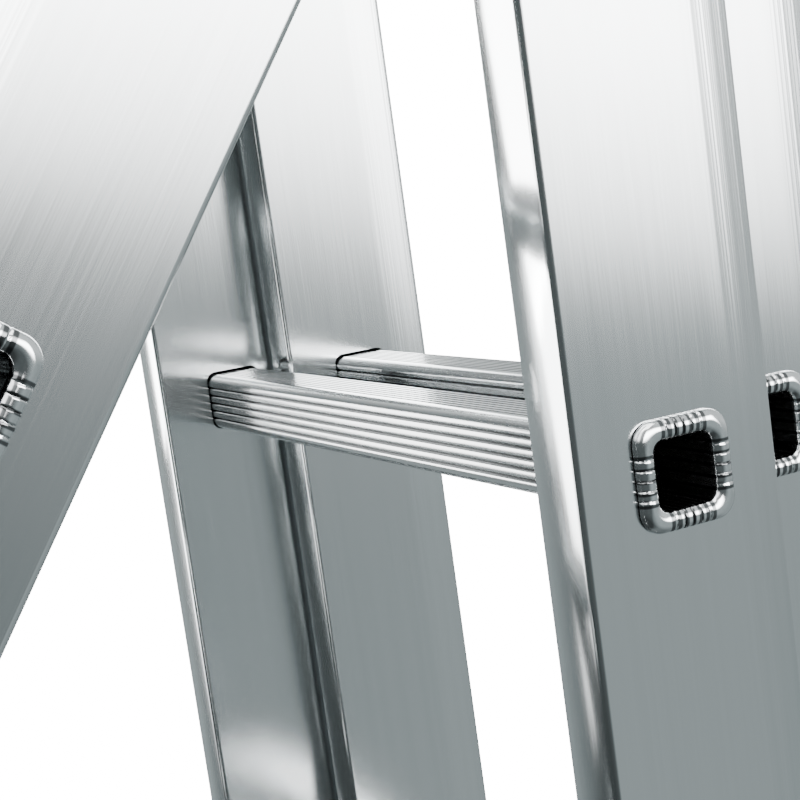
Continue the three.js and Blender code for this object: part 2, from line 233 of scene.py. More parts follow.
class Nodes(Tree):
    """The node tree of a new material. Scales of patterns are in features per metre."""

    def __init__(self, name):
        self.material = bpy.data.materials.new(name)
        self.material.use_nodes = True
        super().__init__(self.material.node_tree)
        self.shader = self.tree.nodes["Principled BSDF"]
        own = self.add("ShaderNodeTexCoord")
        self.coordinates, self.normal = own.outputs["Object"], own.outputs["Normal"]

    def mapped(self, scale, location=(0, 0, 0)):
        """The object's own coordinates at one scale, or at one for each axis."""
        scale = scale if isinstance(scale, (list, tuple)) else (scale,) * 3
        sockets = {"Vector": self.coordinates, "Scale": scale, "Location": location}
        return self.add("ShaderNodeMapping", sockets).outputs["Vector"]

    def noise(self, scale, detail=3.0, roughness=0.55, location=(0, 0, 0)):
        place = self.mapped(scale, location)
        sockets = {"Vector": place, "Scale": 1.0, "Detail": detail, "Roughness": roughness}
        return self.add("ShaderNodeTexNoise", sockets).outputs["Fac"]

    def streaks(self, along, across_scale, along_scale, shift=0.0, detail=3.0):
        """Noise drawn out along one axis."""
        scale = [across_scale] * 3
        scale[along] = along_scale
        return self.noise(scale, detail, location=(shift, shift * 1.7, shift * 0.6))

    def bump(self, height, strength, distance, under=None):
        sockets = {"Height": height, "Strength": strength, "Distance": distance}
        if under is not None:
            sockets["Normal"] = under
        return self.add("ShaderNodeBump", sockets).outputs["Normal"]

    def paint(self, **sockets):
        """Links outputs to the shader, or sets its sockets; an underscore stands for a space."""
        for key, value in sockets.items():
            self.feed(self.shader.inputs[key.replace("_", " ")], value)


def shade(colour, factor):
    return tuple(min(1.0, channel * factor) for channel in colour)


def painted_groove_shade(n, tone):
    """Paints shade into a rung's colour in the bottoms of its grooves, where little light reaches."""
    across, up = n.axes(n.coordinates)[1:]
    on_side = n.maths("GREATER_THAN", n.maths("ABSOLUTE", across), n.maths("ABSOLUTE", up))
    on_tread = n.maths("SUBTRACT", 1.0, on_side)
    shares = []
    for offset, chosen, (count, pitch, *_), painted_shade in (
        (n.maths("SUBTRACT", up, SIDE_SHIFT), on_side, SIDE_RIBS, SIDE_GROOVE_SHADE),
        (across, on_tread, TREAD_RIBS, TREAD_GROOVE_SHADE),
    ):
        from_middle = n.maths("PINGPONG", n.maths("DIVIDE", offset, pitch), 0.5)
        inside = n.maths("LESS_THAN", n.maths("ABSOLUTE", offset), count / 2 * pitch)
        share = n.remap(from_middle, *painted_shade, 1.0, 0.0, smooth=True)
        shares.append(n.maths("MULTIPLY", n.maths("MULTIPLY", share, inside), chosen))
    # painted shade: the colour is darkened in the bottoms of the grooves, where light hardly reaches
    painted_shade = n.maths("MULTIPLY", n.maths("ADD", *shares), GROOVE_SHADE_STRENGTH)
    sockets = {"Factor": painted_shade, 6: tone, 7: GROOVE_SHADE_COLOUR}  # 6 and 7 are the colours that it mixes
    return n.add("ShaderNodeMix", sockets, data_type="RGBA", blend_type="MIX").outputs[2]


def brushed_metal(name, along, colour, roughness, streaks, tilt, anisotropy, die_lines=0.0, ribbed=False):
    """Aluminium brushed along one axis (0, 1 or 2).

    roughness is that of the faces square to x, and that of the others. streaks is how far the colour varies.
    tilt is how far, in radians, single scratches lean along the brushing, so that each catches the light at a
    slightly different height. die_lines is how far the extrusion die's long lines turn the surface sideways.
    """
    n = Nodes(name)
    fine = n.streaks(along, 1500, 9, detail=4)
    broad = n.streaks(along, 190, 2.2, shift=3.1)
    scratch = n.streaks(along, 2300, 14, shift=7.3)
    cloud = n.noise((9, 9, 5), detail=2, location=(1, 2, 3))
    both = n.maths("MULTIPLY_ADD", fine, 0.5, n.maths("MULTIPLY", broad, 0.5))
    tone = n.ramp(both, (0.38, shade(colour, 1 - streaks)), (0.62, shade(colour, 1 + streaks)))
    # on ribbed rungs, shade is painted into the bottoms of the grooves
    n.paint(Base_Color=painted_groove_shade(n, tone) if ribbed else tone)
    normal_x, normal_y, _ = n.axes(n.normal)
    level = n.remap(n.maths("ABSOLUTE", normal_x), 0.6, 0.95, roughness[1], roughness[0])
    varied = n.maths("MULTIPLY", level, n.remap(fine, 0.3, 0.7, 0.93, 1.07))
    n.paint(Roughness=n.maths("MULTIPLY", varied, n.remap(cloud, 0.35, 0.65, 0.93, 1.07)))
    lean = {along: n.remap(scratch, 0.3, 0.7, -tilt, tilt)}
    if die_lines:
        die = n.remap(n.streaks(along, 1150, 0.5, shift=11.9, detail=5), 0.3, 0.7, -die_lines, die_lines)
        strength = n.remap(n.maths("ABSOLUTE", normal_y), 0.004, 0.035, 0.06, 1.0)
        lean[1] = n.maths("MULTIPLY", die, strength)
    own = {"Vector": n.add("ShaderNodeCombineXYZ", lean).outputs["Vector"]}
    world = {"vector_type": "VECTOR", "convert_from": "OBJECT", "convert_to": "WORLD"}
    turned_lean = n.add("ShaderNodeVectorTransform", own, **world).outputs["Vector"]
    normal = n.add("ShaderNodeNewGeometry").outputs["Normal"]
    tilted = n.vector("NORMALIZE", n.vector("ADD", normal, turned_lean))
    tangent = n.add("ShaderNodeTangent", direction_type="RADIAL", axis="XYZ"[along])
    n.paint(Normal=n.bump(fine, 1.0, 0.000002, tilted), Tangent=tangent.outputs["Tangent"])
    n.paint(Metallic=1.0, Anisotropic=anisotropy, Anisotropic_Rotation=0.0)
    return n.material


def galvanised_steel():
    """Grey zinc with faint crystal patches."""
    n = Nodes("galvanised_steel")
    cells = n.add("ShaderNodeTexVoronoi", {"Vector": n.mapped(260), "Scale": 1.0}, feature="F1")
    tone = n.axes(cells.outputs["Color"])[0]
    grain = n.noise(1500)
    n.paint(Base_Color=n.ramp(tone, (0.0, (0.50, 0.52, 0.54)), (1.0, (0.64, 0.66, 0.68))))
    n.paint(Roughness=n.maths("ADD", n.remap(tone, 0, 1, 0.30, 0.42), n.remap(grain, 0.3, 0.7, -0.04, 0.04)))
    n.paint(Normal=n.bump(grain, 0.5, 0.00001), Metallic=1.0)
    return n.material


def mottled(name, marks, dark, light, roughness, grain, bump, **sockets):
    """A surface whose colour and roughness follow one noise, with a fine grain from another.

    marks is the first noise's scale, detail and roughness, dark and light are its (value, colour) stops, and
    roughness goes with its values 0.3 and 0.7. grain is the second noise's scale and detail, and bump is its
    strength and height.
    """
    n = Nodes(name)
    tone = n.noise(*marks)
    n.paint(Base_Color=n.ramp(tone, dark, light), Roughness=n.remap(tone, 0.3, 0.7, *roughness))
    n.paint(Normal=n.bump(n.noise(*grain), *bump), **sockets)
    return n.material


def wave(n, rotation, pitch):
    """A sine wave from 0 to 1 across a flat band, with its crests pitch metres apart."""
    y, z = n.axes(n.coordinates)[1:]
    across = n.maths("MULTIPLY_ADD", y, math.sin(rotation), n.maths("MULTIPLY", z, math.cos(rotation)))
    height = n.maths("SINE", n.maths("MULTIPLY", across, 2 * math.pi / pitch))
    return n.maths("MULTIPLY_ADD", height, 0.5, 0.5)


def webbing():
    """Woven polyester: ribs along the band with a slanting twill over them."""
    n = Nodes("webbing")
    twill = wave(n, math.radians(58), 1.5 * MM)
    ribs = wave(n, 0.0, 1.05 * MM)
    weave = n.maths("MULTIPLY_ADD", twill, 0.6, n.maths("MULTIPLY", ribs, 0.4))
    mixed = n.maths("MULTIPLY_ADD", weave, 0.7, n.maths("MULTIPLY", n.noise(2200), 0.3))
    n.paint(Base_Color=n.ramp(mixed, (0.20, (0.012, 0.013, 0.015)), (0.85, (0.055, 0.057, 0.064))))
    n.paint(Roughness=0.85, Sheen_Weight=0.25, Sheen_Roughness=0.4)
    n.paint(Normal=n.bump(mixed, 0.8, 0.0002))
    return n.material


def thread():
    """The pale thread of the straps' stitching."""
    n = Nodes("thread")
    twist = n.noise(3500, 2)
    n.paint(Base_Color=n.ramp(twist, (0.3, (0.22, 0.23, 0.24)), (0.7, (0.36, 0.37, 0.38))))
    n.paint(Roughness=0.8, Normal=n.bump(twist, 0.6, 0.0001))
    return n.material


ALUMINIUM = (0.70, 0.722, 0.726)
RUNG_COLOUR = (0.80, 0.815, 0.82)
MATERIALS = {
    "brushed_aluminium": brushed_metal(
        "brushed_aluminium", 2, ALUMINIUM, (0.17, 0.12), 0.015, 0.0035, 0.7, die_lines=0.065
    ),
    "bar_aluminium": brushed_metal("bar_aluminium", 0, ALUMINIUM, (0.26, 0.26), 0.05, 0.012, 0.6),
    "rung_aluminium": brushed_metal(
        "rung_aluminium", 0, RUNG_COLOUR, (0.09, 0.15), 0.04, 0.015, 0.3, ribbed=True
    ),
    "galvanised_steel": galvanised_steel(),
    "zinc_plated_steel": mottled(  # bright, with a faint warm cast and handling marks
        "zinc_plated_steel",
        marks=(420, 4),
        dark=(0.35, (0.66, 0.64, 0.58)),
        light=(0.65, (0.76, 0.75, 0.71)),
        roughness=(0.18, 0.32),
        grain=(2600, 2),
        bump=(0.4, 0.000006),
        Metallic=1.0,
    ),
    "black_plastic": mottled(  # a fine spark-eroded grain, rubbed a little shinier in patches
        "black_plastic",
        marks=(60, 3),
        dark=(0.35, (0.017, 0.018, 0.020)),
        light=(0.70, (0.027, 0.028, 0.031)),
        roughness=(0.50, 0.36),
        grain=(1900, 2),
        bump=(0.6, 0.00004),
        Specular_IOR_Level=0.45,
    ),
    "black_rubber": mottled(  # matt, and a little dusty
        "black_rubber",
        marks=(70, 5, 0.65),
        dark=(0.38, (0.016, 0.016, 0.017)),
        light=(0.72, (0.040, 0.039, 0.037)),
        roughness=(0.62, 0.85),
        grain=(1300, 3),
        bump=(0.7, 0.00006),
        Specular_IOR_Level=0.3,
    ),
    "webbing": webbing(),
    "thread": thread(),
}

# ------------------------ outlines


def between(first, second, share):
    return first + (second - first) * share


def smooth(value, low, high):
    """0 up to low, 1 from high on, and a soft step between them."""
    share = min(1.0, max(0.0, (value - low) / (high - low)))
    return share * share * (3 - 2 * share)


def turned(x, y, quarters):
    """(x, y) turned by a number of right angles."""
    for _ in range(quarters):
        x, y = -y, x
    return x, y


def in_mm(*points):
    """Points given in millimetres, in metres."""
    return [tuple(value * MM for value in point) for point in points]


def circle(radius, steps=32):
    angles = [2 * math.pi * i / steps for i in range(steps)]
    return [(radius * math.cos(a), radius * math.sin(a)) for a in angles]


def rounded_rectangle(width, height, corner, corner_steps=4, side_steps=(1, 1), sunk=None):
    """Points round a rectangle with round corners, counter-clockwise from the right-hand side's lower end.

    side_steps are the steps along the upright and the level sides. sunk(side, offset), if given, is how far a
    point of a side lies inside. Sides count from 0 at the right, and offset is measured from a side's middle.
    """
    points = []
    for side in range(4):
        reach, length = (width / 2, height) if side % 2 == 0 else (height / 2, width)
        flat = length / 2 - corner
        steps = side_steps[side % 2]
        for step in range(steps):
            offset = between(-flat, flat, step / steps)
            points.append(turned(reach - (sunk(side, offset) if sunk else 0.0), offset, side))
        for step in range(corner_steps):
            angle = math.pi / 2 * step / corner_steps
            x = reach - corner + corner * math.cos(angle)
            points.append(turned(x, flat + corner * math.sin(angle), side))
    return points


def inset_ring(centre, size, corner, inset, level, corner_steps=4):
    """A rounded rectangle in the x-y plane at a level, drawn in by inset."""
    width, height = size[0] - 2 * inset, size[1] - 2 * inset
    outline = rounded_rectangle(width, height, max(0.4 * MM, corner - inset), corner_steps)
    return [(centre[0] + x, centre[1] + y, level) for x, y in outline]


def nut_ring(flats, round_share, level, steps=48):
    """A hexagon at a level. As round_share goes to 1 it becomes the circle that fits inside."""
    ring = []
    for i in range(steps):
        angle = 2 * math.pi * i / steps
        to_flat = (angle + math.pi / 6) % (math.pi / 3) - math.pi / 6
        radius = between(flats / 2 / math.cos(to_flat), flats / 2, round_share)
        ring.append((radius * math.cos(angle), radius * math.sin(angle), level))
    return ring


def arc_at(before, corner, after, radius, steps=6):
    """Points of the arc that rounds the corner between two others."""
    back, ahead = (before - corner).normalized(), (after - corner).normalized()
    half = back.angle(ahead) / 2
    reach = radius / math.tan(half)
    centre = corner + (back + ahead).normalized() * radius / math.sin(half)
    first, last = corner + back * reach - centre, corner + ahead * reach - centre
    turn = first.angle_signed(last)
    points = []
    for step in range(steps + 1):
        arm = first.copy()
        arm.rotate(Matrix.Rotation(-turn * step / steps, 2))
        points.append(centre + arm)
    return points


def fillet(points, radii, steps=6):
    """The closed 2-D polygon with each corner rounded by its radius."""
    rounded = []
    for i, radius in enumerate(radii):
        before, corner, after = (Vector(points[(i + k) % len(points)]) for k in (-1, 0, 1))
        rounded += arc_at(before, corner, after, radius, steps) if radius > 0 else [corner]
    return rounded


def from_groove(offset, count, pitch):
    """The distance from a point of a face to the nearest of its evenly spaced grooves."""
    reach = (count - 1) / 2 * pitch
    return min(abs(offset + reach - i * pitch) for i in range(count))


def soft_groove(offset, count, pitch, half_width):
    """1 in the middle of a round-edged groove, 0 away from it."""
    nearest = from_groove(offset, count, pitch)
    return 0.5 + 0.5 * math.cos(math.pi * min(1.0, nearest / half_width))


# ------------------------ meshes

MERGE_DISTANCE = 1e-6


def loop(bm, points):
    return [bm.verts.new(point) for point in points]


def bridge(bm, first, second):
    """Quads between two loops of the same length."""
    count = len(first)
    for i in range(count):
        j = (i + 1) % count
        bm.faces.new((first[i], first[j], second[j], second[i]))


def skin(bm, rings):
    """Quads from each ring of points to the next. Returns the rings' vertices."""
    loops = [loop(bm, ring) for ring in rings]
    for first, second in zip(loops, loops[1:]):
        bridge(bm, first, second)
    return loops


def loft(bm, rings):
    """A skin through rings of points, capped at both ends."""
    loops = skin(bm, rings)
    bm.faces.new(list(reversed(loops[0])))
    bm.faces.new(loops[-1])


def lathe(bm, profile, segments=48):
    """Turns (level, radius) points round the z axis, closed at both ends."""
    loft(bm, [[(x, y, level) for x, y in circle(radius, segments)] for level, radius in profile])


def plate(bm, outline, low, high, holes=()):
    """A flat plate: a (y, z) outline with holes, pulled along x."""
    for x in (low, high):
        edges = []
        for ring in (outline, *holes):
            verts = loop(bm, [(x, y, z) for y, z in ring])
            edges += [bm.edges.new((verts[i], verts[(i + 1) % len(verts)])) for i in range(len(verts))]
        bmesh.ops.triangle_fill(bm, use_beauty=True, use_dissolve=False, edges=edges)
    for ring in (outline, *holes):
        bridge(bm, *(loop(bm, [(x, y, z) for y, z in ring]) for x in (low, high)))


def mirrored(bm, side):
    """Turns a piece made for the +x side into the one for the other side when side is -1."""
    bmesh.ops.scale(bm, vec=(side, 1, 1), verts=bm.verts)


def finish_mesh(bm, name, sharp_angle=35):
    """Turns a bmesh into a mesh that is smooth except at sharp edges."""
    bmesh.ops.remove_doubles(bm, verts=bm.verts, dist=MERGE_DISTANCE)
    bmesh.ops.recalc_face_normals(bm, faces=bm.faces)
    mesh = bpy.data.meshes.new(name)
    bm.to_mesh(mesh)
    bm.free()
    for polygon in mesh.polygons:
        polygon.use_smooth = True
    mesh.set_sharp_from_angle(angle=math.radians(sharp_angle))
    return mesh


def place(name, mesh, matrix, material, body, replaced=(), weighted=True, upright=False):
    """An object for a mesh, riding on a body. The material's name is its slot.

    upright writes the matrix into the mesh, so that the object's own box stands square on the floor.
    """
    if upright:
        mesh.transform(matrix)
        matrix = Matrix.Identity(4)
    obj = new_object(name, mesh)
    obj.matrix_world = matrix
    if not mesh.materials:
        mesh.materials.append(MATERIALS[material])
    if weighted:
        modifier = obj.modifiers.new("weighted normals", "WEIGHTED_NORMAL")
        modifier.keep_sharp = True
        modifier.weight = 100
    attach(obj, body)
    if replaced:
        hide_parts(*replaced)
    return obj


def piece(bm, node, section, material, sharp_angle=35, **options):
    """The look of a CAD node of a section."""
    mesh = finish_mesh(bm, node, sharp_angle)
    return place(node + "_visual", mesh, section.matrix, material, section.body, [node], **options)


def fastener(bm, name, matrix, body, sharp_angle=35, node=None):
    """A zinc plated piece, which stands for a CAD node if one is given."""
    mesh = finish_mesh(bm, name, sharp_angle)
    place(name, mesh, matrix, "zinc_plated_steel", body, [node] if node else ())


def soften(obj, width, segments=3):
    """Rounds the sharp edges of a piece before its weighted normals."""
    bevel = obj.modifiers.new("soft edges", "BEVEL")
    bevel.width = width
    bevel.segments = segments
    bevel.limit_method = "ANGLE"
    bevel.angle_limit = math.radians(40)
    obj.modifiers.move(len(obj.modifiers) - 1, 0)


ALONG_Y = Matrix.Rotation(math.radians(-90), 4, "X")  # turns a lathed piece's axis from z to y


def along_x(sign):
    """Turns a lathed piece's axis from z to +x, or to -x when sign is -1."""
    turn = Matrix.Rotation(math.radians(90), 4, "Y")
    return turn if sign > 0 else Matrix.Rotation(math.pi, 4, "Z") @ turn


def standing(section, x, y, z, turn):
    """The matrix of a lathed piece at a point of a section."""
    return section.matrix @ Matrix.Translation((x, y, z)) @ turn


# (level, radius) in millimetres; the first point lies in the plate
RIVET_HEAD = ((-0.3, 3.4), (0.0, 3.4), (0.25, 3.5), (0.6, 3.1), (0.9, 2.0), (1.0, 0.8))


def rivet_pair(node, section, side, x, y, levels, sign, radius_share, height_share):
    """Two rivet heads on a plate of the right-hand stile, facing +x or -x by sign, or their mirror images."""
    foot, *head = in_mm(*RIVET_HEAD)
    profile = [(foot[0], foot[1] * radius_share)]
    profile += [(height * height_share, radius * radius_share) for height, radius in head]
    for i, level in enumerate(levels):
        bm = bmesh.new()
        lathe(bm, profile, 32)
        matrix = standing(section, x * side, y, level, along_x(sign * side))
        fastener(bm, f"{node}_rivet_{i + 1}", matrix, section.body)


# ------------------------ stiles

STILE_WALL = 1.8 * MM
STILE_CORNER = 2.2 * MM
STILE_CROWN = 0.8 * MM  # the narrow faces bulge by this much
SHOULDER_REACH = 21 * MM  # near its outer edge each wide face bends inwards over this width
SHOULDER_DROP = 1.55 * MM
CORNER_STEPS = 5
CROWN_STEPS = 8
SHOULDER_STEPS = 10
RUNG_SIDE = 28 * MM
RUNG_CORNER = 4.6 * MM
HOLE_SIDE = RUNG_SIDE + 0.9 * MM
HOLE_RISE = 0.7 * MM  # the punched holes are this much taller above the rung
HOLE_PATCH = HOLE_SIDE / 2 + 6 * MM  # half the height of the part of a wide face that holds one hole
HOLE_STEPS = 6


def edge_strip(thick, width, corner, side, shoulder):
    """Points from one wide face round the narrow edge to the other, on the +y or -y side."""
    reach_x, reach_y = thick / 2, width / 2 - STILE_CROWN
    drop = SHOULDER_DROP if shoulder else 0.0
    start = math.atan(2 * drop / SHOULDER_REACH)
    centre_x = reach_x - drop - corner * math.cos(start)
    centre_y = reach_y - corner
    bend_start = centre_y + corner * math.sin(start) - SHOULDER_REACH
    half = []
    for step in range(SHOULDER_STEPS if shoulder else 0):
        share = step / SHOULDER_STEPS
        half.append((reach_x - drop * share**2, bend_start + SHOULDER_REACH * share))
    for step in range(CORNER_STEPS + 1):
        angle = between(start, math.pi / 2, step / CORNER_STEPS)
        half.append((centre_x + corner * math.cos(angle), centre_y + corner * math.sin(angle)))
    points = list(half)
    for step in range(1, CROWN_STEPS):
        x = centre_x * (1 - 2 * step / CROWN_STEPS)
        points.append((x, reach_y + STILE_CROWN * (1 - (x / centre_x) ** 2)))
    points += [(-x, y) for x, y in reversed(half)]
    return [(x, y * side) for x, y in points]


def stile_skin(bm, section, thick, width, corner):
    """One skin of a stile. Returns its open rims: both ends, and the rung holes."""
    levels = [section.bottom]
    for level in section.rungs:
        levels += [level - HOLE_PATCH, level + HOLE_PATCH]
    levels.append(section.top)
    strips = [edge_strip(thick, width, corner, side, side == section.outer_side) for side in (1, -1)]
    rows = [[loop(bm, [(section.middle + x, y, z) for x, y in strip]) for z in levels] for strip in strips]
    for strip_rows in rows:
        for lower, upper in zip(strip_rows, strip_rows[1:]):
            for i in range(len(lower) - 1):
                bm.faces.new((lower[i], lower[i + 1], upper[i + 1], upper[i]))
    far, near = rows
    rims = [far[i] + list(reversed(near[i])) for i in (0, -1)]
    for end, x in ((0, section.middle + thick / 2), (-1, section.middle - thick / 2)):
        for i in range(len(levels) - 1):
            corners = (far[i + 1][end], near[i + 1][end], near[i][end], far[i][end])
            if i % 2 == 0:
                bm.faces.new(corners)
            else:
                rims.append(punched_patch(bm, corners, x, section.rungs[i // 2]))
    return rims


def punched_patch(bm, corners, x, level):
    """The part of a wide face round one rung hole, as four faces. Returns the hole's rim."""
    outline = rounded_rectangle(HOLE_SIDE, HOLE_SIDE, RUNG_CORNER, HOLE_STEPS)
    rim = loop(bm, [(x, y, level + z + (HOLE_RISE if z > 0 else 0)) for y, z in outline])
    quarter = HOLE_STEPS + 1
    for i in range(4):
        start = 1 + i * quarter + HOLE_STEPS // 2  # the middle of one of the rim's corners
        side = [rim[j % len(rim)] for j in range(start, start + quarter + 1)]
        bm.faces.new([corners[i], corners[(i + 1) % 4]] + list(reversed(side)))
    return rim


def build_stile(section, side_name, side):
    """A hollow stile with punched holes for the rungs."""
    bm = bmesh.new()
    skins = []
    for wall, corner in ((0.0, STILE_CORNER), (STILE_WALL, STILE_CORNER / 2)):
        skins.append(stile_skin(bm, section, section.thick - 2 * wall, section.width - 2 * wall, corner))
    for outer, inner in zip(*skins):
        bridge(bm, outer, inner)
    mirrored(bm, side)
    piece(bm, f"{section.name}_stile_{side_name}", section, "brushed_aluminium")


# ------------------------ rungs

FLARE_HALF = 18.2 * MM
FLARE_CORNER = 7.5 * MM
FLARE_SPAN = (-0.04, 1.08)  # the swaged end's bead starts and stops at these half turns
FLARE_STEPS = 14
BORE_HALF = 11.2 * MM
BORE_CORNER = 4.0 * MM
BORE_DEPTH = 22 * MM  # the bore is drawn this far in with its own outline
CRIMP_DEPTH = 0.5 * MM
CRIMPS = (5, 3.3 * MM, 0.38 * MM)  # pressed lines on each straight side: their number, pitch and half width


def ribbed_face(offset, count, pitch, depth, groove, crown):
    """How far a ribbed face sinks at a distance from its middle: nearly flat ribs and narrow grooves."""
    nearest = from_groove(offset, count, pitch)
    if nearest > pitch / 2:
        return 0.0
    return crown * (1 - 2 * nearest / pitch) ** 2 + depth * max(0.0, 1 - nearest / groove)


def rung_ribs(side, offset):
    """How far a point of the rung's outline is sunk. The upper and lower sides have finer ribs."""
    if side % 2:
        return ribbed_face(offset, *TREAD_RIBS)
    return ribbed_face(offset - (SIDE_SHIFT if side == 0 else -SIDE_SHIFT), *SIDE_RIBS)


def flare_ring(angle, face, tip):
    """One ring of the swaged end's bead, with its pressed lines, at an angle round the bead's section."""
    bead = (FLARE_HALF - BORE_HALF) / 2
    half = BORE_HALF + bead * (1 + math.cos(angle))
    x = between(face, tip, 0.12 + 0.88 * max(0.0, math.sin(angle)) ** 0.8)
    corner = between(BORE_CORNER, FLARE_CORNER, (half - BORE_HALF) / (2 * bead))
    endways = CRIMP_DEPTH * max(0.15, math.sin(angle))
    sideways = CRIMP_DEPTH * 0.6 * math.cos(min(angle, math.pi / 2))

    def pressed(_, offset):
        return sideways * soft_groove(offset, *CRIMPS)

    outline = rounded_rectangle(2 * half, 2 * half, max(1.5 * MM, corner), 12, (64, 64), pressed)
    return [(x - endways * soft_groove(z if abs(y) > abs(z) else y, *CRIMPS), y, z) for y, z in outline]


def build_rung_mesh(section):
    """A whole rung centred on x = 0: ribbed bar, swaged ends and a clear bore."""
    bm = bmesh.new()
    face = section.outside
    profile = rounded_rectangle(RUNG_SIDE, RUNG_SIDE, RUNG_CORNER, 8, (120, 120), rung_ribs)
    left, right = skin(bm, [[(x, y, z) for y, z in profile] for x in (-face, face)])
    bores = []
    for sign, bar_end in ((1, right), (-1, left)):
        angles = [math.pi * between(*FLARE_SPAN, step / FLARE_STEPS) for step in range(FLARE_STEPS + 1)]
        rings = [flare_ring(angle, face, section.flare_end) for angle in angles]
        rings.append([(face - BORE_DEPTH, y, z) for x, y, z in rings[-1]])
        loops = skin(bm, [[(sign * x, y, z) for x, y, z in ring] for ring in rings])
        close_gap(bm, bar_end, loops[0])
        bores.append(loops[-1])
    bridge(bm, *bores)
    return finish_mesh(bm, f"{section.name}_rung_mesh", sharp_angle=50)


def close_gap(bm, bar_end, flare_foot):
    """Joins the bar's outline to the wider foot of the swaged end, lying on the stile's face."""
    edges = []
    for ring in (bar_end, flare_foot):
        for i, vertex in enumerate(ring):
            pair = (vertex, ring[(i + 1) % len(ring)])
            edges.append(bm.edges.get(pair) or bm.edges.new(pair))
    bmesh.ops.bridge_loops(bm, edges=edges)


def build_rungs(section):
    mesh = build_rung_mesh(section)
    for index, level in enumerate(section.rungs, start=1):
        node = f"{section.name}_rung_{index}"
        matrix = section.matrix @ Matrix.Translation((0, 0, level))
        place(node + "_visual", mesh, matrix, "rung_aluminium", section.body, [node], weighted=False)


# ------------------------ caps and plugs

LID_GAP = 0.3 * MM
LID_EDGE = ((0.0, 0.5), (0.4, 0.0), (4.2, 0.0), (5.0, 0.25), (5.6, 0.8), (6.0, 1.7))  # (level, inset) in mm
LID_PANEL = ((6.0, 4.2), (5.2, 4.8))
GRIP_BARS = 7
GRIP_EDGE = ((5.0, 0.0), (5.7, 0.1), (5.95, 0.5))
GRIP_WIDTH = 2.4 * MM


def build_lid(section, side, node, upwards):
    """A moulded cap on a stile's end: a soft-edged lid with a sunk panel and grip bars."""
    low, high = span(node, section.matrix)
    size = (high.x - low.x, high.y - low.y)
    corner = STILE_CORNER + (size[0] - section.thick) / 2
    start = section.top + LID_GAP if upwards else section.bottom - LID_GAP
    sign = 1 if upwards else -1
    bm = bmesh.new()
    rings = []
    for level, inset in in_mm(*LID_EDGE, *LID_PANEL):
        rings.append(inset_ring((section.middle, 0), size, corner, inset, start + sign * level))
    loft(bm, rings)
    panel_width, panel_height = (length - 2 * LID_PANEL[-1][1] * MM for length in size)
    for i in range(GRIP_BARS):
        y = panel_height * ((i + 0.5) / GRIP_BARS - 0.5)
        bar = []
        for level, inset in in_mm(*GRIP_EDGE):
            ring = rounded_rectangle(panel_width - 2 * inset, GRIP_WIDTH - 2 * inset, 0.5 * MM, 2)
            bar.append([(section.middle + x, y + dy, start + sign * level) for x, dy in ring])
        loft(bm, bar)
    mirrored(bm, side)
    piece(bm, node, section, "black_plastic")


# ------------------------ feet

FOOT_WALL = 4 * MM
FOOT_SLEEVE = 30 * MM  # how far the rubber reaches up the stile
FOOT_RIBS = 5
FOOT_MOUTH = 0.4 * MM  # the sleeve stands this far off the stile


def drawn_in(ring, start, *steps):
    """Rings below a level, at (drop, inset) steps in millimetres."""
    return [ring(inset, start - drop) for drop, inset in in_mm(*steps)]


def ribbed(ring, start, pitch, count, *steps):
    """Rings of equal ribs, each at (share of the pitch, inset in millimetres) steps."""
    return [ring(inset * MM, start - (i + share) * pitch) for i in range(count) for share, inset in steps]


def level_sole(ring, matrix, *steps):
    """Rings above the floor, at (lift, inset) steps in millimetres, in a section's frame."""
    a, b, c, d = matrix[2]
    rings = []
    for lift, inset in in_mm(*steps):
        rings.append([(x, y, lift - (a * x + b * y + d) / c) for x, y, _ in ring(inset, 0)])
    return rings


def rubber_shoe(node, section, side, rings):
    bm = bmesh.new()
    loft(bm, rings)
    mirrored(bm, side)
    piece(bm, node, section, "black_rubber", 42, upright=True)


def build_foot(side_name, side):
    """The rubber shoe on a middle stile: a ribbed sleeve over a flat sole that stands level."""
    section = MIDDLE
    centre = (section.middle, 0)
    top = section.bottom + FOOT_SLEEVE

    def ring(inset, level, wall=FOOT_WALL, corner=STILE_CORNER + FOOT_WALL):
        size = (section.thick + 2 * wall, section.width + 2 * wall)
        return inset_ring(centre, size, corner, inset, level)

    rings = [
        ring(0.0, section.bottom - LID_GAP, FOOT_MOUTH, STILE_CORNER),
        ring(0.0, top - 1.0 * MM, FOOT_MOUTH, STILE_CORNER),
        ring(0.0, top, FOOT_MOUTH + 0.6 * MM, STILE_CORNER),
    ]
    rings += drawn_in(ring, top, (0, 2.6), (0, 1.4), (0.5, 0.6), (1.4, 0.1), (2.2, 0), (4.6, 0), (5.4, 0.7))
    pitch = (FOOT_SLEEVE - 7 * MM) / FOOT_RIBS
    rib = ((0.1, 1.1), (0.25, 0.25), (0.5, 0.05), (0.75, 0.25), (0.9, 1.1))
    rings += ribbed(ring, top - 6.5 * MM, pitch, FOOT_RIBS, *rib)
    rings += drawn_in(ring, section.bottom, (0.5, 0.9), (2.0, 0.2), (3.5, 0.0))
    rings += level_sole(ring, section.matrix, (2.2, 0.0), (0.7, 0.3), (0.0, 1.0))
    rubber_shoe(f"middle_foot_{side_name}", section, side, rings)


# ------------------------ stabiliser bar

BAR_LOW, BAR_HIGH = span("stabiliser_bar", BASE.matrix)
BAR_CORNER = 3.5 * MM
BAR_GROOVES = (4, 9 * MM, 1.3 * MM)  # on the front and the back: their number, pitch and half width
BAR_GROOVE_DEPTH = 0.7 * MM


def bar_grooves(side, offset):
    """How far a point of the bar's outline is sunk."""
    return 0.0 if side % 2 else BAR_GROOVE_DEPTH * soft_groove(offset, *BAR_GROOVES)


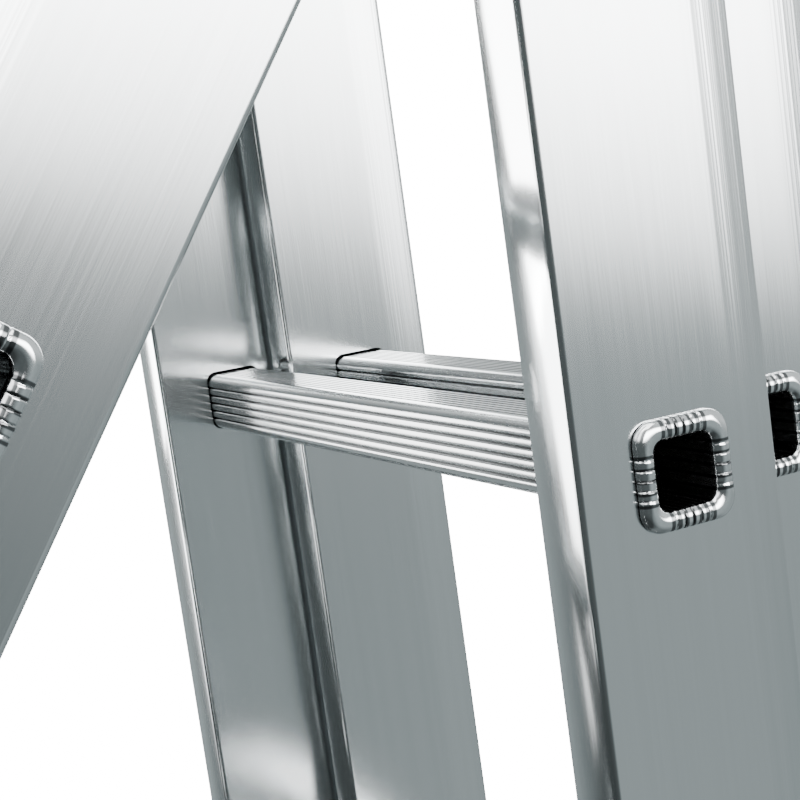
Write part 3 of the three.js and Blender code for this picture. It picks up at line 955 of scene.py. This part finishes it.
def build_bar():
    """The extruded bar across the foot of the base section, with drawn grooves along its front and back."""
    size = BAR_HIGH - BAR_LOW
    middle = (BAR_LOW + BAR_HIGH) / 2
    outline = rounded_rectangle(size.y, size.z, BAR_CORNER, 6, (120, 6), bar_grooves)
    bm = bmesh.new()
    loft(bm, [[(x, middle.y + y, middle.z + z) for y, z in outline] for x in (BAR_LOW.x, BAR_HIGH.x)])
    obj = piece(bm, "stabiliser_bar", BASE, "bar_aluminium", 50)


SHOE_RIBS = 6
SHOE_CORNER = 5 * MM


def build_shoe(side_name, side):
    """The rubber shoe over the bar's end: rounded, ribbed round its sides, with a flat, level sole."""
    low, high = span("stabiliser_foot_right", BASE.matrix)
    middle, size = (low + high) / 2, high - low

    def ring(inset, level):
        return inset_ring(middle, size, SHOE_CORNER, inset, level, 5)

    bar_bottom = BAR_LOW.z - 1 * MM
    rib_top = high.z - 6 * MM
    pitch = (rib_top - bar_bottom) / SHOE_RIBS
    rings = drawn_in(ring, high.z, (0.0, 3.4), (0.2, 2.2), (0.9, 1.0), (2.2, 0.2), (4.0, 0.0))
    rings += ribbed(ring, rib_top, pitch, SHOE_RIBS, (0.08, 0.0), (0.14, 0.9), (0.26, 0.9), (0.32, 0.0))
    rings += drawn_in(ring, bar_bottom, (0.0, 0.0), (2.0, 0.6), (4.0, 0.0))
    rings += level_sole(ring, BASE.matrix, (2.0, 0.0), (0.6, 0.3), (0.0, 1.1))
    rubber_shoe(f"stabiliser_foot_{side_name}", BASE, side, rings)


def build_bar_bolt(side_name, side):
    """A carriage bolt: domed head in front of the bar, washer, nut and threaded end inside the leg."""
    node = f"bar_bolt_{side_name}"
    low, high = span("bar_bolt_right", BASE.matrix)
    x, z = BASE.middle * side, (low.z + high.z) / 2
    back = BASE.width / 2
    bm = bmesh.new()
    lathe(bm, in_mm((0.0, 1.0), (0.3, 4.0), (1.2, 6.8), (2.6, 8.5), (3.6, 9.0), (4.0, 9.0)))
    fastener(bm, node + "_head", standing(BASE, x, low.y, z, ALONG_Y), BASE.body, 50, node)
    bm = bmesh.new()
    lathe(bm, in_mm((0.05, 9.2), (1.1, 9.2), (1.3, 8.9)))
    loft(bm, [nut_ring(13 * MM, share, level * MM) for level, share in ((1.3, 0.0), (6.3, 0.0), (7.2, 1.0))])
    lathe(bm, thread_profile(7.2 * MM, high.y - back, 4 * MM))
    fastener(bm, node + "_nut", standing(BASE, x, back, z, ALONG_Y), BASE.body)


def thread_profile(low, high, radius, pitch=1.25 * MM, depth=0.45 * MM):
    """(level, radius) points of a threaded end with a chamfered tip."""
    points = [(low - 2 * MM, radius)]
    level = low
    while level < high - pitch:
        points += [(level, radius), (level + pitch / 2, radius - depth)]
        level += pitch
    points += [(high - 0.5 * MM, radius - 0.2 * MM), (high, radius - 0.9 * MM)]
    return points


# ------------------------ hinge

STUD_RADIUS = 6 * MM
STUD_NUT = 7 * MM


def build_hinge_plate(section, side_name, side):
    """A galvanised strengthening plate with a round top, held by two rivets."""
    node = f"{section.name}_hinge_plate_{side_name}"
    low, high = span(f"{section.name}_hinge_plate_right", section.matrix)
    top_radius = (high.y - low.y) / 2 * 0.98
    corners = [(low.y, low.z), (high.y, low.z), (high.y, high.z), (low.y, high.z)]
    bm = bmesh.new()
    plate(bm, fillet(corners, [2.5 * MM, 2.5 * MM, top_radius, top_radius], 12), low.x, high.x)
    mirrored(bm, side)
    soften(piece(bm, node, section, "galvanised_steel"), 0.5 * MM)
    outwards = 1 if low.x > section.middle else -1
    face = high.x if outwards > 0 else low.x
    levels = (low.z + 9 * MM, low.z + 33 * MM)
    rivet_pair(node, section, side, face, (low.y + high.y) / 2, levels, outwards, 1.15, 1.3)


def build_stud(side_name, side):
    """The hinge stud: acorn nuts and washers at both ends, and a spacing collar between the stiles."""
    node = f"hinge_stud_{side_name}"
    low, high = span("hinge_stud_right", Matrix.Identity(4))
    gap_low, gap_high = MIDDLE.outside + 0.3 * MM, BASE.inside - 0.3 * MM
    bm = bmesh.new()
    lathe(bm, [(low.x + STUD_NUT, STUD_RADIUS), (high.x - STUD_NUT, STUD_RADIUS)])
    collar = ((gap_low, 12.0), (gap_low + 0.4 * MM, 12.8), (gap_high - 0.4 * MM, 12.8), (gap_high, 12.0))
    lathe(bm, [(level, radius * MM) for level, radius in collar])
    acorn(bm, high.x - STUD_NUT, 1)
    acorn(bm, low.x + STUD_NUT, -1)
    fastener(bm, node + "_visual", Matrix.Translation(HINGE) @ along_x(side), "base_section", 38, node)


def acorn(bm, base, outwards):
    """A washer and a domed nut on the z axis, from a stile's plate towards the stud's end."""
    washer = in_mm((0.0, 9.4), (1.0, 9.4), (1.2, 9.1))
    lathe(bm, [(base + outwards * level, radius) for level, radius in washer])
    rings = []
    for level, flats, round_share in ((1.2, 15.4, 0.0), (3.6, 15.4, 0.0), (4.2, 15.0, 0.9)):
        rings.append(nut_ring(flats * MM, round_share, base + outwards * level * MM))
    for level, radius in in_mm((4.3, 6.2), (5.2, 5.9), (6.0, 5.0), (6.6, 3.4), (6.9, 1.6)):
        rings.append([(x, y, base + outwards * level) for x, y in circle(radius, 48)])
    loft(bm, rings)


# ------------------------ guides, hooks and pins

GUIDE_STEEL = 3 * MM
GUIDE_BEND = 3.2 * MM  # middle radius of each bend


def bent_strip(bm, path, low, high):
    """A steel strap bent along an x-y path of its middle line, between two levels."""
    line = [Vector(point) for point in path]
    centre = [line[0]]
    for before, corner, after in zip(line, line[1:], line[2:]):
        centre += arc_at(before, corner, after, GUIDE_BEND)
    centre.append(line[-1])
    left, right = [], []
    for i, point in enumerate(centre):
        ahead = (centre[min(i + 1, len(centre) - 1)] - centre[max(i - 1, 0)]).normalized()
        normal = Vector((-ahead.y, ahead.x)) * GUIDE_STEEL / 2
        left.append(point + normal)
        right.append(point - normal)
    outline = left + list(reversed(right))
    rows = skin(bm, [[(p.x, p.y, level) for p in outline] for level in (low, high)])
    for row in rows:
        for i in range(len(centre) - 1):
            bm.faces.new((row[i], row[i + 1], row[-2 - i], row[-1 - i]))


def build_guide(node, side, section, path, rivet_x, rivet_y, rivet_height):
    """A bent steel strap on a stile, held by two rivets."""
    low, high = span(node, section.matrix)
    bm = bmesh.new()
    bent_strip(bm, path, low.z, high.z)
    mirrored(bm, side)
    soften(piece(bm, node, section, "galvanised_steel", 30), 0.45 * MM, 2)
    levels = (low.z + 12 * MM, high.z - 12 * MM)
    rivet_pair(node, section, side, rivet_x, rivet_y, levels, 1, 1.1, rivet_height)


def build_upper_guide(side_name, side):
    """The steel strap on the middle stile that wraps the top section's outer edge."""
    low, high = span("upper_guide_right", MIDDLE.matrix)
    half = GUIDE_STEEL / 2
    edge = MIDDLE.width / 2 + LID_GAP + half
    side_plate = TOP.flare_end + 0.6 * MM + half
    lip = low.x + half
    path = (
        (high.x - half, low.y),
        (high.x - half, edge),
        (side_plate, edge),
        (side_plate, high.y - half),
        (lip, high.y - half),
        (lip, high.y - GUIDE_STEEL - 18 * MM),
    )
    build_guide(f"upper_guide_{side_name}", side, MIDDLE, path, high.x, low.y + 8 * MM, 0.9)


def build_lower_guide(side_name, side):
    """The steel strap on the top section's stile that hooks round the middle stile's outer corner."""
    low, high = span("lower_guide_right", TOP.matrix)
    half = GUIDE_STEEL / 2
    across = low.y + 20 * MM + half
    path = (
        (low.x + half, high.y),
        (low.x + half, across),
        (high.x - half, across),
        (high.x - half, low.y),
    )
    build_guide(f"lower_guide_{side_name}", side, TOP, path, low.x + GUIDE_STEEL, high.y - 12 * MM, 1.0)


HOOK_HUB = 9 * MM
HOOK_BORE = 4.3 * MM
HUB_ARC = (math.radians(-108), math.radians(97))  # the hub's round edge, from the arm to the arm
HUB_STEPS = 20
HOOK_OUTLINE = (  # (y, z, rounding) in millimetres about the pin, as the hook lies over a rung
    (-6.2, 8.6, 0.0),
    (-53.0, -11.0, 9.0),
    (-55.0, -44.0, 2.5),
    (-48.0, -46.0, 2.5),
    (-46.0, -26.0, 2.0),
    (-16.0, -26.0, 4.0),
    (-9.0, -9.0, 0.0),
)


def build_hook(side_name, side):
    """The flip-over rung hook, in its stowed place, with its pin."""
    joint = JOINTS[f"{side_name}_hook_swing"]
    node = f"rung_hook_{side_name}"
    low, high = span("rung_hook_right", TOP.matrix)
    pivot = TOP.matrix.inverted() @ Vector(joint["pos_m"])
    corners = in_mm(*HOOK_OUTLINE)
    arm = fillet([(y, z) for y, z, _ in corners], [radius for _, _, radius in corners])
    outline = [point for point in arm if math.hypot(*point) > HOOK_HUB * 1.02]
    for i in range(HUB_STEPS + 1):
        angle = between(*HUB_ARC, i / HUB_STEPS)
        outline.append((HOOK_HUB * math.cos(angle), HOOK_HUB * math.sin(angle)))
    bm = bmesh.new()
    plate(bm, outline, low.x, high.x, [circle(HOOK_BORE)])
    mirrored(bm, side)
    flipped = Matrix.Rotation(-math.radians(joint["range_deg"][1]), 4, "X")
    matrix = standing(TOP, 0, pivot.y, pivot.z, flipped)
    mesh = finish_mesh(bm, node)
    hook = place(node + "_visual", mesh, matrix, "galvanised_steel", f"{side_name}_hook", [node])
    soften(hook, 0.7 * MM)


def build_hook_pin(side_name, side):
    """The hook's shouldered pin."""
    node = f"hook_pin_{side_name}"
    low, high = span("hook_pin_right", TOP.matrix)
    head = ((0.0, 1.5), (0.3, 4.2), (0.9, 5.9), (1.8, 6.8), (2.6, 7.0), (3.8, 7.0), (4.0, 6.8), (4.0, 4.0))
    bm = bmesh.new()
    lathe(bm, [(low.x + level, radius) for level, radius in in_mm(*head)] + [(high.x, 4.0 * MM)])
    matrix = standing(TOP, 0, (low.y + high.y) / 2, (low.z + high.z) / 2, along_x(side))
    fastener(bm, node + "_visual", matrix, TOP.body, 45, node)


# ------------------------ spreader straps

STRAP_LOW, STRAP_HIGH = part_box("spreader_strap_right")
STRAP_MIDDLE = (STRAP_LOW + STRAP_HIGH) / 2
HALF_THICK, HALF_LENGTH, HALF_WIDTH = (STRAP_HIGH - STRAP_LOW) / 2
STRAP_SAG = 5 * MM
STRAP_END = 42 * MM  # length of the doubled, stitched end
STRAP_STEPS = 120
BAND_SHARE = 0.92  # the single band's thickness, of the whole
DOUBLING = 0.4 * MM  # how much further each face stands out where the band is doubled
STITCH_FACE = HALF_THICK * BAND_SHARE + DOUBLING
STITCH_MARGIN = 3 * MM
STITCH_LENGTH = 2.6 * MM
STITCH_GAP = 1.2 * MM
STITCH_SHAPE = ((-0.5, 0.25), (-0.3, 0.8), (0.0, 1.0), (0.3, 0.8), (0.5, 0.25))  # (share of length, size)
STITCH_HALF_WIDTH = 0.42 * MM
STITCH_HEIGHT = 0.32 * MM
STITCH_AREA = 0.9 * MM * MM  # every face of a stitch is smaller than this
RIVET_INSET = 13 * MM  # from the strap's end to its rivet


def build_strap(side_name, side):
    """A webbing strap between the legs, with doubled ends, box stitching and a rivet at each end."""
    node = f"spreader_strap_{side_name}"
    bm = bmesh.new()
    rings = []
    for step in range(STRAP_STEPS + 1):
        y = between(-HALF_LENGTH, HALF_LENGTH, step / STRAP_STEPS)
        single = smooth(HALF_LENGTH - abs(y), STRAP_END - 2 * MM, STRAP_END + 1 * MM)
        thick = HALF_THICK * BAND_SHARE + DOUBLING * (1 - single)
        outline = rounded_rectangle(2 * thick, 2 * HALF_WIDTH, thick * 0.7, 3, (4, 4))
        rings.append([on_strap(x, y, z) for x, z in outline])
    loft(bm, rings)
    for end in (1, -1):
        for face in (1, -1):
            for start, stop in stitch_lines():
                add_stitches(bm, STITCH_FACE * face, start, stop, end)
    mirrored(bm, side)
    mesh = finish_mesh(bm, node, 60)
    mesh.materials.append(MATERIALS["webbing"])
    mesh.materials.append(MATERIALS["thread"])
    for polygon in mesh.polygons:
        polygon.material_index = int(is_stitch(polygon))
    obj = place(node + "_visual", mesh, Matrix.Identity(4), "webbing", "base_section", [node], weighted=False)
    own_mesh(obj)
    for section, end in ((BASE, -1), (MIDDLE, 1)):
        build_strap_rivet(section, end, side_name, side)


def on_strap(x, y, z):
    """A point of the straight strap, given from its middle, where it hangs on the right-hand side."""
    drop = STRAP_SAG * (1 - (y / HALF_LENGTH) ** 2)
    return STRAP_MIDDLE.x + x, STRAP_MIDDLE.y + y, STRAP_MIDDLE.z + z - drop


def stitch_lines():
    """The four (y, z) lines of stitching round an end, as pairs of a start and a stop."""
    outer, inner = HALF_LENGTH - STITCH_MARGIN, HALF_LENGTH - STRAP_END + STITCH_MARGIN
    top = HALF_WIDTH - STITCH_MARGIN
    corners = [Vector(corner) for corner in ((outer, top), (inner, top), (inner, -top), (outer, -top))]
    return zip(corners, corners[1:] + corners[:1])


def add_stitches(bm, face, start, stop, end):
    """Stitches along a line on one face at one end of the strap: end is 1 or -1."""
    length = (stop - start).length
    direction = (stop - start).normalized()
    across = Vector((-direction.y, direction.x))
    count = int(length / (STITCH_LENGTH + STITCH_GAP))
    for i in range(count):
        centre = start + direction * (i + 0.5) * length / count
        rings = []
        for share, size in STITCH_SHAPE:
            point = centre + direction * share * STITCH_LENGTH
            ring = []
            for x, y in circle(size, 6):
                beside = point + across * STITCH_HALF_WIDTH * x
                ring.append(on_strap(face + STITCH_HEIGHT * y, beside.x * end, beside.y))
            rings.append(ring)
        loft(bm, rings)


def is_stitch(polygon):
    """Stitches are the only faces this small that stand on the strap's doubled ends."""
    stands_out = abs(abs(polygon.center.x) - STRAP_MIDDLE.x) > STITCH_FACE - 0.45 * MM
    return polygon.area < STITCH_AREA and stands_out


def build_strap_rivet(section, end, side_name, side):
    """A spacer washer against the stile and a low rivet head on the strap's other face."""
    if section is BASE:
        stile_face, strap_face, free_face = BASE.inside, STRAP_HIGH.x, STRAP_LOW.x
    else:
        stile_face, strap_face, free_face = MIDDLE.outside, STRAP_LOW.x, STRAP_HIGH.x
    towards = 1 if stile_face > free_face else -1
    bm = bmesh.new()
    washer = [(strap_face + towards * level, radius) for level, radius in in_mm((0.1, 8.0), (0.3, 8.6))]
    lathe(bm, washer + [(stile_face, 8.6 * MM)])
    head = in_mm((0.1, 6.4), (-0.25, 6.2), (-0.6, 4.8), (-0.8, 2.0))
    lathe(bm, [(free_face + towards * level, radius) for level, radius in head])
    _, y, z = on_strap(0, end * (HALF_LENGTH - RIVET_INSET), 0)
    matrix = Matrix.Translation((0, y, z)) @ along_x(side)
    fastener(bm, f"strap_rivet_{section.name}_{side_name}", matrix, section.body, 40)


# ------------------------ floor, world and lights

FLOOR_RADIUS = 2.6
FLOOR_FADE = 1.3  # the floor starts to melt into the backdrop at this radius


def make_stage():
    """A pale floor that fades out at its rim. The polished metal mirrors the studio and not the floor."""
    bm = bmesh.new()
    bmesh.ops.create_circle(bm, cap_ends=True, segments=96, radius=FLOOR_RADIUS)
    mesh = bpy.data.meshes.new("floor")
    bm.to_mesh(mesh)
    bm.free()
    floor = new_object("floor", mesh)
    mesh.materials.append(pale_floor())
    floor.visible_glossy = False


def pale_floor():
    n = Nodes("pale_floor")
    grain = n.noise(40, 4)
    n.paint(Base_Color=n.ramp(grain, (0.3, (0.85, 0.86, 0.86)), (0.7, (0.88, 0.89, 0.89))), Roughness=0.8)
    distance = n.vector("LENGTH", n.coordinates, output="Value")
    n.paint(Alpha=n.remap(distance, FLOOR_FADE, FLOOR_RADIUS, 1.0, 0.0, smooth=True))
    return n.material


# Soft boxes that the metal reflects. Angles are in degrees: the azimuth of the middle, anticlockwise from +X;
# half its spread where it starts and ends fading; the elevations over which it brightens and fades upwards.
SOFT_BOXES = (
    {"azimuth": 15.5, "fade": (23.5, 31), "rise": (4.5, 14.0), "fall": (24, 42), "light": 12.5},
    {"azimuth": -125, "fade": (21, 25), "rise": (-31.0, -24.0), "fall": (-16.5, -14), "light": 11.0},
    {"azimuth": -85, "fade": (25, 45), "rise": (3.0, 16.0), "fall": (50, 80), "light": 3.0},
)
GROUND_LIGHT = (0.395, 0.455, 0.465)  # what the metal sees below the horizon, away from the shaded side
SHADED_AZIMUTH = -70
SHADE = 0.25  # the share of the ground light that is left on the shaded side
BEYOND = 0.85  # the share that is left beyond the ladder, seen from the camera's side
UNDERSIDE = 0.45  # and the share that is left straight below
SKY_LIGHT = 0.5
BACKDROP_LIGHT = 17.0


def toward(tree, flat, azimuth):
    """How far a level direction points towards an azimuth in degrees: 1 at it and -1 away from it."""
    angle = math.radians(azimuth)
    along_y = tree.maths("MULTIPLY", flat[1], math.sin(angle))
    return tree.maths("MULTIPLY_ADD", flat[0], math.cos(angle), along_y)


def soft_box(tree, flat, elevation, values):
    """A bright window in the world, as a number from 0 to its light."""
    inner, outer = (math.cos(math.radians(angle)) for angle in values["fade"])
    side = tree.remap(toward(tree, flat, values["azimuth"]), outer, inner, 0.0, values["light"], smooth=True)
    rise = tree.remap(elevation, *values["rise"], 0.0, 1.0)
    fall = tree.remap(elevation, *values["fall"], 1.0, 0.0, smooth=True)
    return tree.maths("MULTIPLY", side, tree.maths("MULTIPLY", rise, fall))


def ground_share(tree, flat, elevation):
    """The share of the ground light that comes from a direction."""
    shaded = tree.remap(toward(tree, flat, SHADED_AZIMUTH), -0.2, 0.3, 1.0, SHADE)
    beyond = tree.remap(flat[1], 0.68, 0.92, 1.0, BEYOND)
    below = tree.remap(elevation, -44, -21, UNDERSIDE, 1.0)
    return tree.maths("MULTIPLY", tree.maths("MULTIPLY", shaded, beyond), below)


def make_world():
    """Soft white boxes above a grey ground for the metal to reflect, on a plain white backdrop."""
    world = bpy.data.worlds.new("studio")
    world.use_nodes = True
    bpy.context.scene.world = world
    tree = Tree(world.node_tree)
    x, y, z = tree.axes(tree.add("ShaderNodeTexCoord").outputs["Generated"])
    elevation = tree.maths("DEGREES", tree.maths("ARCSINE", z))
    length = tree.maths("SQRT", tree.maths("MULTIPLY_ADD", x, x, tree.maths("MULTIPLY", y, y)))
    flat = (tree.maths("DIVIDE", x, length), tree.maths("DIVIDE", y, length))
    total = tree.remap(elevation, 0.0, 25.0, 0.0, SKY_LIGHT, smooth=True)
    for values in SOFT_BOXES:
        total = tree.maths("ADD", total, soft_box(tree, flat, elevation, values))
    ground = tree.vector("MULTIPLY", GROUND_LIGHT, ground_share(tree, flat, elevation))
    reflected = world.node_tree.nodes["Background"]
    tree.feed(reflected.inputs["Color"], tree.vector("ADD", ground, total))
    backdrop = tree.add("ShaderNodeBackground", {"Color": (1, 1, 1, 1), "Strength": BACKDROP_LIGHT})
    seen = tree.add("ShaderNodeLightPath").outputs["Is Camera Ray"]
    mix = tree.add("ShaderNodeMixShader", enumerate((seen, reflected.outputs[0], backdrop.outputs[0])))
    tree.feed(world.node_tree.nodes["World Output"].inputs["Surface"], mix.outputs["Shader"])


def area_light(name, location, target, size, light):
    """A soft rectangular light; light is how bright its face is, in the world's units."""
    data = bpy.data.lights.new(name, "AREA")
    data.shape = "RECTANGLE"
    data.size, data.size_y = size
    data.energy = light * math.pi * size[0] * size[1]
    lamp = new_object(name, data)
    lamp.location = location
    lamp.visible_camera = False
    direction = Vector(target) - Vector(location)
    lamp.rotation_mode = "QUATERNION"
    lamp.rotation_quaternion = direction.to_track_quat("-Z", "Y")
    return lamp


# Bright cards that only some of the pieces catch: where each is seen from, its direction, distance and size.
CARDS = (
    {
        "name": "side_card",
        "seen_from": (0, 0.1),
        "azimuth": -140.5,
        "distance": 4.0,
        "bottom": 0.30,
        "size": (2.22, 2.36),
        "light": 16.0,
        "pieces": ("middle_stile",),
    },
    {
        "name": "rung_card",
        "seen_from": (0, 0.1),
        "azimuth": -140,
        "distance": 4.0,
        "bottom": 0.10,
        "size": (2.9, 1.1),
        "light": 6.5,
        "pieces": ("middle_rung", "top_rung", "base_rung"),
    },
    {
        "name": "front_card",
        "seen_from": (-0.21, -0.15),
        "azimuth": -36,
        "distance": 1.8,
        "bottom": 0.72,
        "size": (0.57, 0.50),
        "light": 5.0,
        "pieces": ("base_stile_left",),
    },
)


def make_card(card):
    azimuth = math.radians(card["azimuth"])
    height = card["bottom"] + card["size"][1] / 2
    eye = Vector((*card["seen_from"], height))
    location = eye + Vector((math.cos(azimuth), math.sin(azimuth), 0)) * card["distance"]
    lamp = area_light(card["name"], location, eye, card["size"], card["light"])
    receivers = bpy.data.collections.new(card["name"] + "_receivers")
    for obj in bpy.data.objects:
        if obj.name.startswith(card["pieces"]) and obj.name.endswith("_visual"):
            receivers.objects.link(obj)
    lamp.light_linking.receiver_collection = receivers


def make_lights():
    """A wide light overhead, and cards that put bright bands on stiles' narrow faces and on rungs."""
    centre = (cad_box[0] + cad_box[1]) / 2
    area_light("overhead", centre + Vector((0.6, -0.4, 2.6)), centre, (1.6, 1.6), 4.5)
    for card in CARDS:
        make_card(card)


# ------------------------ build

LIDS = (  # section, name of its CAD node, and whether it is at the upper end
    (BASE, "base_top_cap", True),
    (MIDDLE, "middle_top_cap", True),
    (TOP, "top_section_cap", True),
    (BASE, "base_end_plug", False),
    (TOP, "top_end_plug", False),
)


def build_side(side_name, side):
    for section in SECTIONS:
        build_stile(section, side_name, side)
    for section, lid, upwards in LIDS:
        build_lid(section, side, f"{lid}_{side_name}", upwards)
    for build in (build_foot, build_shoe, build_bar_bolt):
        build(side_name, side)
    for section in (BASE, MIDDLE):
        build_hinge_plate(section, side_name, side)
    for build in (build_stud, build_upper_guide, build_lower_guide, build_hook, build_hook_pin, build_strap):
        build(side_name, side)


make_camera()
make_world()
make_stage()
for section in SECTIONS:
    build_rungs(section)
build_bar()
for side_name, side in SIDES:
    build_side(side_name, side)
make_lights()
